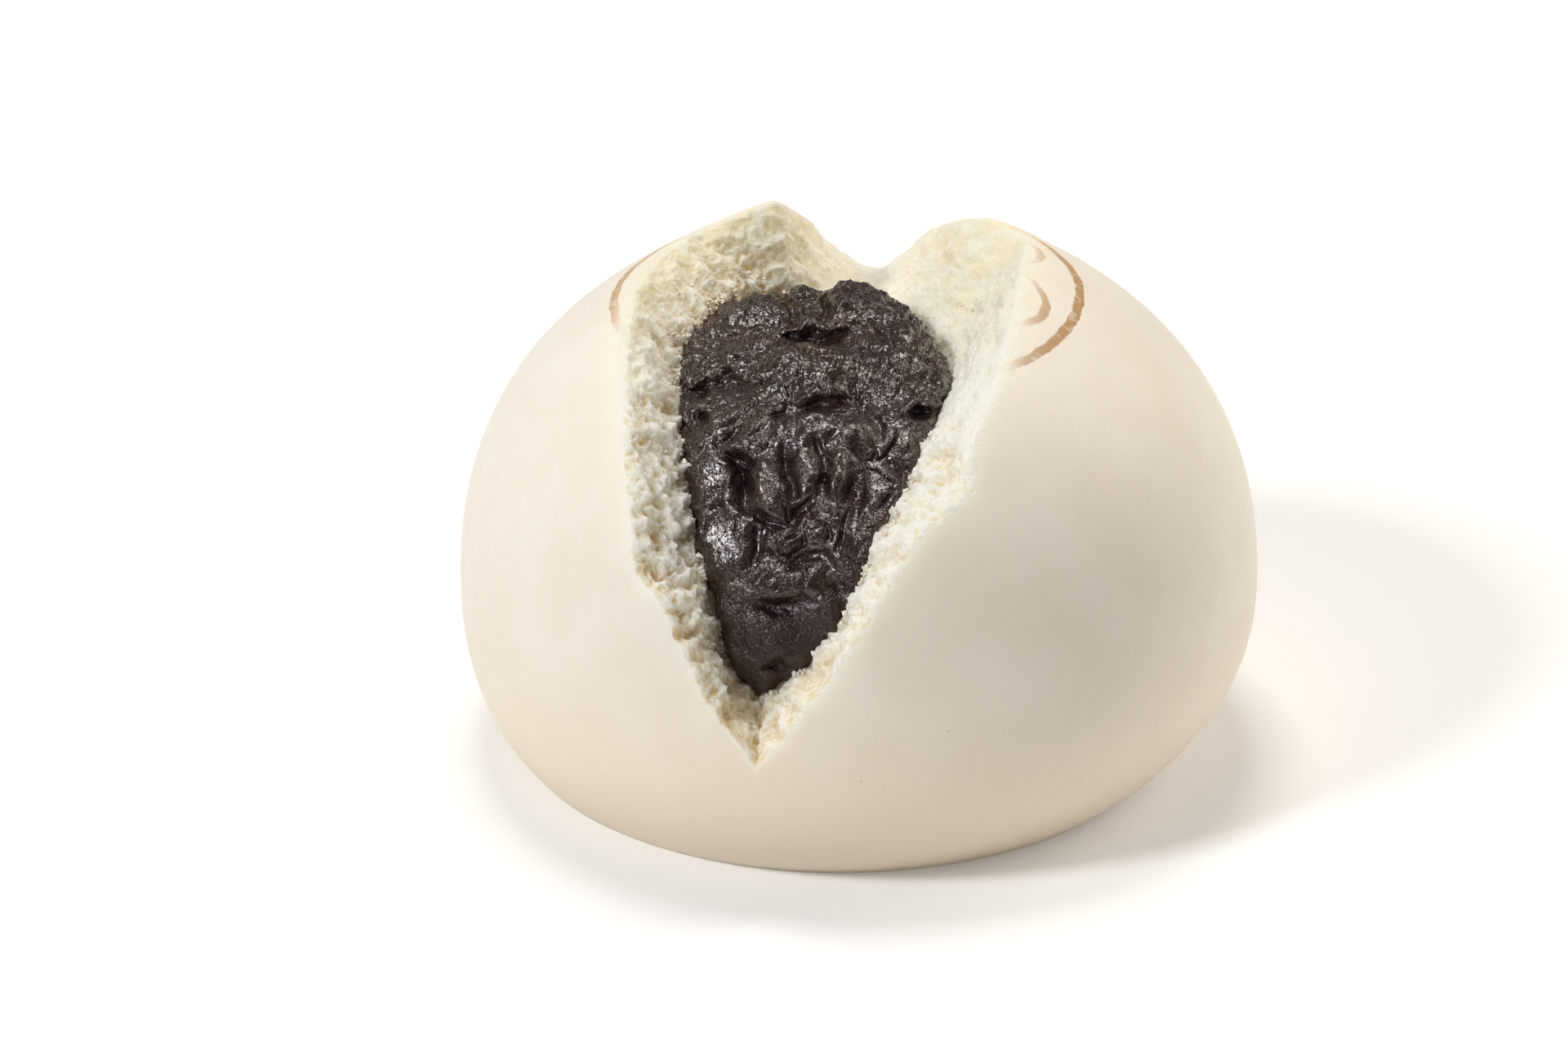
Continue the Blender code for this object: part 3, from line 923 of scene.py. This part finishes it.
@dataclass
class Dough:
    """The steamed dough, with its skin, its torn walls and its flat underside.

    Args:
        form: the whole bun.
        filling: the filling, for the hollow under it.
        columns: columns round the torn wall. The skin has half as many.
        floor_rings: rings of the hidden hollow.
        wall_rings: rings of torn crumb.
        lip_rings: rings round the torn edge of the skin.
        skin_rings: rings of skin down to the base.
        edge: share of the wall that the rounding of its torn edge takes up.
        skin_start: share of the way down the skin at which that rounding ends.
        swell_reach: share of the way down the skin in which it is bent out beside the peaks.
        evenness: how evenly the columns' feet stand round the base.
        knob: where a clump of crumb hangs over the filling.
        knob_reach: how wide it is.
        knob_height: how far it hangs over.
    """

    form: BunForm
    filling: Filling
    columns: int = 896
    floor_rings: int = 5
    wall_rings: int = 76
    lip_rings: int = 7
    skin_rings: int = 34
    edge: float = 0.06
    skin_start: float = 0.016
    swell_reach: float = 0.35
    evenness: float = 0.7
    knob: Point = (-17.9, -27.8, 35.5)
    knob_reach: float = 1.2
    knob_height: float = 1.7

    def crumb_height(self, place: Vector, clumped: float, pitted: float) -> tuple[float, float]:
        """Height of the torn crumb over its plain wall.

        Args:
            place: point on the plain wall.
            clumped: share of clumped crumb.
            pitted: share of pitted crumb.

        Returns:
            A height in millimetres, and how white the crumb is there: white on the crests, painted shade in
            the hollows and painted light on the flap.
        """
        seed = Vector((11.0, 3.0, 7.0))
        broad = 0.5 * (2.0 * lumps(place + seed, 4.4) + 1.1 * lumps(place + seed, 2.2))
        bent = place + noise.noise_vector(place / 1.8) * 0.7
        flap = ramp(place.z, 45.0, 53.0)
        clumped = max(clumped * (1.0 - 0.75 * flap), 0.6 * pitted)
        broad *= 0.30 + 0.45 * clumped
        fine = (0.22 + 0.20 * clumped) * noise.fractal(bent / 1.7, 0.45, 2.2, 3)
        fine += (0.12 + 0.16 * clumped) * lumps(bent, 0.95)
        fine -= (0.18 + 0.26 * clumped) * (cells(bent, 0.60) - 0.5)
        knob = self.knob_height * math.exp(-(place - Vector(self.knob)).length_squared / self.knob_reach ** 2)
        # whiteness: white on the crests, painted shade in the hollows, painted light on the flap, whiter in
        # the finer crumb
        return broad + fine + knob, 0.45 * broad + 1.3 * fine + 0.35 * (1.0 - clumped) + 0.55 * flap

    def pit_depth(self, place: Vector) -> float:
        """Depth of the small pits that gas left in the finer crumb."""
        return 0.7 * max(0.0, 1.0 - noise.voronoi(place / 1.9)[0][0] / 0.30)

    def skin_ring(self, mouth: Mouth, feet: Array, share: float) -> Array:
        """Ring of the skin.

        Args:
            mouth: the torn mouth.
            feet: directions to the rim of the base.
            share: 0 is the lip, 1 is the rim of the base.

        Returns:
            The ring's points.
        """
        arms = mouth.lip - self.form.centre
        lengths = np.linalg.norm(arms, axis=-1)
        start = arms / lengths[:, None]
        swell = lengths - self.form.radius(start)
        kept = (1.0 - ramp(share, 0.0, self.swell_reach)) ** 1.5
        return self.form.skin(turn_towards(start, feet, share), swell * kept)

    def build(self, material: Material) -> tuple[Object, Array, Mouth]:
        """Model the dough.

        Args:
            material: the dough's material.

        Returns:
            The piece, and the points of its torn wall and the mouth for the loose crumbs.
        """
        mouth = Mouth.torn(self.columns)
        feet = self.form.base_directions(mouth.lip, self.evenness)
        layers = []
        for k in range(self.floor_rings):
            layers.append((self.filling.back_ring(mouth.seat, 1.0 - k / self.floor_rings, 0.0), 1.0, 0.0))
        for k in range(self.wall_rings):
            share = k / (self.wall_rings - 1) * (1.0 - self.edge)
            layers.append((mouth.seat + (mouth.lip - mouth.seat) * share, 1.0,
                           ramp(share, 0.0, 0.12) * (1.0 - 0.45 * ramp(share, 0.7, 1.0))))
        below = mouth.lip + (mouth.seat - mouth.lip) * self.edge
        beyond = self.skin_ring(mouth, feet, self.skin_start)
        for k in range(1, self.lip_rings + 1):
            t = k / (self.lip_rings + 1)
            corner = (1 - t) ** 2 * below + 2 * t * (1 - t) * mouth.lip + t ** 2 * beyond
            layers.append((corner, 1.0 - 0.15 * t, 0.55 - 0.30 * t))
        for k in range(self.skin_rings + 1):
            share = (1.0 - self.skin_start) * (k / self.skin_rings) ** 1.35
            layers.append((self.skin_ring(mouth, feet, self.skin_start + share),
                           0.85 * math.exp(-share / 0.026), 0.25 * math.exp(-share / 0.010)))
        layers.append((np.tile((self.form.foot_lean, 0.0, 0.0), (self.columns, 1)), 0.0, 0.0))
        rings, torn, rough = (np.array(values) for values in zip(*layers))
        heights, whiteness_and_shade = np.zeros((2, *rings.shape[:2]))
        room = ramp(np.linalg.norm(mouth.lip - mouth.lip[0], axis=-1), 1.0, 12.0)
        clumped = np.maximum(mouth.clumped, 0.8 * (1.0 - room))
        for ring in np.flatnonzero(rough >= 0.01):
            for column in range(self.columns):
                place = Vector(rings[ring, column])
                pit = self.pit_depth(place) * mouth.pitted[column]
                height, white = self.crumb_height(place, clumped[column], mouth.pitted[column])
                heights[ring, column] = height - pit
                # pits get painted shade
                whiteness_and_shade[ring, column] = white - 0.5 * pit
        rings += mouth.inward * (heights * rough[:, None] * (0.75 + 0.25 * room))[..., None]
        lip_end = self.floor_rings + self.wall_rings + self.lip_rings
        mesh, places = wrap_sphere(rings, (self.floor_rings, lip_end + 2))
        whiteness_and_shade[lip_end - 1:] = np.maximum(whiteness_and_shade[lip_end - 1:], 0.9)
        # the height mark carries the crumb's whiteness with its painted shade and light
        marks = {"torn": torn[places[0]], "height": whiteness_and_shade[places]}
        return to_piece(mesh, "steamed_bun", marks, material), rings[self.floor_rings:lip_end], mouth


@dataclass
class Crumbs:
    """Loose crumbs and torn flakes that stand on the walls.

    Args:
        count: how many there are.
        seam_share: share of them that lie where the wall meets the filling.
        smallest: radius of the smallest.
        largest: radius of the largest.
        seam_rings: rings of the wall that count as lying there.
        patch: size of the patches that they gather in.
        shapes: how many different shapes they are drawn from.
        seed: seed of every draw.
    """

    count: int = 1000
    seam_share: float = 0.85
    smallest: float = 0.10
    largest: float = 0.38
    seam_rings: int = 14
    patch: float = 2.2
    shapes: int = 7
    seed: int = 4

    def shape(self, index: int) -> Mesh:
        """One jagged crumb of radius 1.

        Args:
            index: which of the shapes.

        Returns:
            Its mesh.
        """
        mesh = bmesh.new()
        bmesh.ops.create_icosphere(mesh, subdivisions=2, radius=1.0)
        for vertex in mesh.verts:
            place = vertex.co * 1.2 + Vector((index * 7.3, 0.0, 0.0))
            vertex.co *= 0.75 + 0.95 * noise.noise(place) + 0.55 * noise.noise(place * 2.6)
        return to_data(mesh, f"crumb_shape_{index}")

    def build(self, wall: Array, mouth: Mouth, material: Material) -> Object:
        """Scatter the crumbs and join them into one piece.

        Args:
            wall: points of the torn wall as ring, column and axis.
            mouth: the torn mouth.
            material: what they are made of.

        Returns:
            The piece.
        """
        draw = random.Random(self.seed)
        shapes = [self.shape(index) for index in range(self.shapes)]
        rings, columns = wall.shape[:2]
        mesh = bmesh.new()
        heights = []
        placed = 0
        while placed < self.count:
            by_seam = draw.random() < self.seam_share
            low, high = (2, self.seam_rings) if by_seam else (self.seam_rings, rings // 2)
            ring = draw.randrange(low, high)
            column = draw.randrange(columns)
            spot = Vector(wall[ring, column])
            ragged = max(mouth.clumped[column], 0.8 * mouth.pitted[column] if by_seam else 0.1)
            if draw.random() > ragged or noise.noise(spot / self.patch) < 0.0:
                continue
            size = self.smallest + (self.largest - self.smallest) * draw.random() ** 2.2
            here = spot + Vector(mouth.inward[column]) * size * draw.uniform(-0.3, 0.5)
            turn = draw.uniform(0.0, math.tau)
            axis = Vector([draw.gauss(0, 1) for _ in range(3)]).normalized()
            sides = Vector((draw.uniform(0.7, 1.5), draw.uniform(0.6, 1.1), 1.0)) * size
            crumb = draw.choice(shapes).copy()
            spin = Matrix.Rotation(turn, 3, axis)
            crumb.transform(Matrix.Scale(MM, 4) @ Matrix.LocRotScale(here, spin, sides))
            mesh.from_mesh(crumb)
            heights.extend([draw.uniform(0.5, 1.1)] * len(crumb.vertices))
            bpy.data.meshes.remove(crumb)
            placed += 1
        return to_piece(mesh, "loose_crumbs", {"torn": np.ones(len(heights)), "height": heights}, material)


@dataclass
class Paste:
    """The bean filling, with its folded open face and its rounded hidden back.

    Args:
        form: the whole bun.
        filling: where the filling lies.
        columns: columns round it.
        front_rings: rings of the open face.
        back_rings: rings of the hidden back.
        edge: share of the way to its middle in which its edge rolls over.
        overlap: how far its edge presses into the crumb.
        raggedness: how unevenly it does.
    """

    form: BunForm
    filling: Filling
    columns: int = 860
    front_rings: int = 190
    back_rings: int = 12
    edge: float = 0.30
    overlap: float = 0.40
    raggedness: float = 0.9

    def relief(self, points: Array) -> tuple[Array, Array, Array]:
        """Relief of the filling's open face over its plain form.

        Args:
            points: places on the plain form.

        Returns:
            For each place its height, how deep the folds press into it, and how brown it is.
        """
        rows = []
        for point in points:
            place = Vector(point)
            bent = place + noise.noise_vector(place / 4.0) * 1.2
            near = noise.voronoi((place + noise.noise_vector(place / 2.5) * 1.6) / 5.2)[0]
            sway = noise.noise_vector(place / 6.0) * 1.2 + noise.noise_vector(place / 1.7) * 0.45
            rows.append((lumps(place + Vector((2.0, 9.0, 5.0)), 7.0), noise.fractal(bent / 3.0, 0.9, 2.1, 3),
                         noise.fractal(bent / 1.5, 0.6, 2.1, 3), noise.fractal(bent / 0.8, 0.8, 2.0, 2),
                         cells(bent, 0.7) - 0.5, near[1] - near[0], noise.noise(place / 3.0),
                         noise.noise(place / 4.0 + Vector((5.0, 1.0, 8.0))), sway.x, sway.y))
        broad, coarse, medium, fine, beans, gap, patchy, torn, sway_x, sway_y = np.array(rows).T
        z = points[:, 2]
        crumbly = 1.0 + 4.0 * ramp(z, 46.0, 48.5) + np.maximum(patchy, 0.0)
        cleft = np.exp(-(gap / 0.075) ** 2) * ramp(torn, -0.25, 0.25)
        grain = (0.35 * broad - 0.9 * ramp(z, 46.0, 49.0) + (0.30 - 0.10 * ramp(z, 27.0, 33.0)) * coarse
                 + crumbly * (0.032 * fine + 0.030 * beans) + 0.30 * ramp(z, 45.0, 48.0) * medium
                 - (0.10 + 0.50 * ramp(z, 30.0, 38.0)) * cleft)
        across = points[:, 0] + sway_x
        up = points[:, 1] * math.sin(FACE_TILT) + (z - self.form.waist) * math.cos(FACE_TILT) + sway_y
        swell = np.max([lobe.swell(across, up) for lobe in LOBES], axis=0)
        presses = np.array([fold.press(across, up) for fold in FOLDS])
        press = presses.max(axis=0) + presses.min(axis=0)
        brown = 0.4 * np.maximum(ramp(press, 0.2, 0.9) * ramp(press, 2.6, 1.2) * ramp(up, 22.0, 25.0),
                                 ramp(patchy, 0.05, 0.35) * ramp(across, 3.0, 8.0) * ramp(up, 13.0, 17.0))
        return grain + 0.8 * swell, press * (1.0 + 0.6 * np.clip(grain, -0.6, 0.6)), brown

    def build(self, material: Material) -> Object:
        """Model the filling.

        Args:
            material: the filling's material.

        Returns:
            The piece.
        """
        mouth = Mouth.torn(self.columns)
        ragged = np.array([[noise.noise(Vector(point) / 1.9) + 0.6 * noise.noise(Vector(point) / 0.8)]
                           for point in mouth.seat])
        overlap = self.overlap + self.raggedness * ragged
        seat = self.filling.back_ring(mouth.seat, 0.0, -overlap)
        starts = unit(seat - self.form.centre)
        low = np.linalg.norm(seat - self.form.centre, axis=-1)
        inwards = np.array([0.0, -math.cos(FACE_TILT), math.sin(FACE_TILT)])
        rings, browns = [], []
        for k in range(self.front_rings):
            share = 1.0 - k / self.front_rings
            directions = turn_towards(starts, self.filling.towards(), share)
            full = self.form.radius(directions, self.filling.inset)
            roll = 1.0 - (1.0 - min(share / self.edge, 1.0)) ** 2.6
            ring = self.form.centre + directions * (low + (full - low) * roll)[:, None]
            strength = ramp(share, 0.0, 0.10)
            height, press, brown = self.relief(ring)
            rings.append(ring + strength * (directions * height[:, None] - inwards * press[:, None]))
            browns.append(np.maximum(brown, 0.7 - 0.7 * strength))
        for k in range(self.back_rings + 1):
            share = k / self.back_rings
            rings.append(self.filling.back_ring(mouth.seat, share, -overlap * (1.0 - share)))
            browns.append(np.ones(self.columns))
        mesh, places = wrap_sphere(np.array(rings), (1, 0))
        return to_piece(mesh, "bean_filling", {"brown": np.array(browns)[places]}, material)


@dataclass
class Studio:
    """Pale floor, soft light and the camera at the photograph's viewing angle.

    Args:
        form: the whole bun.
        elevation: the camera's height above level, in degrees.
        distance: from the camera to its target, in millimetres.
        target: what the camera looks at, to the right and up the picture from the bun's centre.
        picture_width: width of the picture at the target, in millimetres.
        sensor: the camera's sensor width, in millimetres.
    """

    form: BunForm
    elevation: float = 25.0
    distance: float = 600.0
    target: Spot = (-8.4, 5.5)
    picture_width: float = 176.8
    sensor: float = 36.0

    def camera(self) -> None:
        """Set up the camera that sees the bun as the photograph does."""
        tilt = math.radians(self.elevation)
        right = Vector((1.0, 0.0, 0.0))
        up = Vector((0.0, math.sin(tilt), math.cos(tilt)))
        back = Vector((0.0, -math.cos(tilt), math.sin(tilt)))
        eye = Vector(self.form.centre) + right * self.target[0] + up * self.target[1] + back * self.distance
        data = bpy.data.cameras.new("camera")
        data.sensor_width = self.sensor
        data.lens = self.sensor * self.distance / self.picture_width
        data.clip_start = 0.01
        made = put("camera", data)
        made.matrix_world = Matrix.Translation(eye * MM) @ Matrix((right, up, back)).transposed().to_4x4()
        bpy.context.scene.camera = made

    def lamp(self, name: str, place: Point, width: float, power: float, colour: Colour) -> None:
        """Set up a square soft light that faces the bun.

        Args:
            name: its name.
            place: where it stands, in millimetres.
            width: its side, in millimetres.
            power: in watts.
            colour: its colour.
        """
        data = bpy.data.lights.new(name, "AREA")
        data.size = width * MM
        data.energy = power
        data.color = colour
        made = put(name, data)
        made.rotation_euler = (Vector(self.form.centre) - Vector(place)).to_track_quat("-Z", "Y").to_euler()
        made.location = Vector(place) * MM

    def floor(self) -> None:
        """Set up the wide pale floor under the bun."""
        mesh = bmesh.new()
        bmesh.ops.create_grid(mesh, x_segments=1, y_segments=1, size=4.0)
        pale, recipe = new_material("pale_floor")
        recipe.feed(pale.node_tree.nodes["Principled BSDF"], {
            "Base Color": (0.93, 0.93, 0.93),
            "Roughness": 0.8,
            "Specular IOR Level": 0.1,
            "Emission Color": (1.0, 1.0, 1.0),
            "Emission Strength": 0.12,
        })
        data = to_data(mesh, "floor")
        data.materials.append(pale)
        put("floor", data)

    def build(self) -> None:
        """Set up the floor, the lights, the world and the camera."""
        self.floor()
        self.lamp("key", (-600.0, -380.0, 620.0), 180.0, 4.5, (0.97, 0.99, 1.02))
        self.lamp("top", (-40.0, 220.0, 900.0), 320.0, 3.8, (1.0, 0.97, 0.93))
        self.lamp("side", (620.0, 290.0, 370.0), 500.0, 2.6, (1.0, 0.94, 0.86))
        world = bpy.data.worlds.new("studio")
        world.use_nodes = True
        back = world.node_tree.nodes["Background"]
        back.inputs["Color"].default_value = (1.0, 0.94, 0.86, 1.0)
        back.inputs["Strength"].default_value = 0.16
        bpy.context.scene.world = world
        bpy.context.scene.view_settings.view_transform = "Standard"
        self.camera()


def dress(piece: Object, node: str) -> None:
    """Say what a piece rides on and replaces, and report it.

    Args:
        piece: the piece.
        node: the solid that it stands for.
    """
    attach(piece, "root")
    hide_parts(node)
    log.info("%s: %d faces, stands for %s", piece.name, len(piece.data.polygons), node)


def main() -> None:
    """Build the bun and the studio."""
    logging.basicConfig(level=logging.INFO, format="%(message)s")
    noise.seed_set(NOISE_SEED)
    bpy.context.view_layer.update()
    form = BunForm()
    filling = Filling()
    grain = grain_group()
    stamp = Ornament()
    steamed = DoughFinish().material("steamed_dough", grain, stamp)
    bun, wall, mouth = Dough(form, filling).build(steamed)
    dress(bun, "bun_dough")
    dry_crumb = DoughFinish(soft=0.0).material("dry_crumb", grain, stamp)
    dress(Crumbs().build(wall, mouth, dry_crumb), "bun_dough")
    dress(Paste(form, filling).build(PasteFinish().material(grain)), "bean_paste")
    Studio(form).build()


if __name__ == "__main__":
    main()
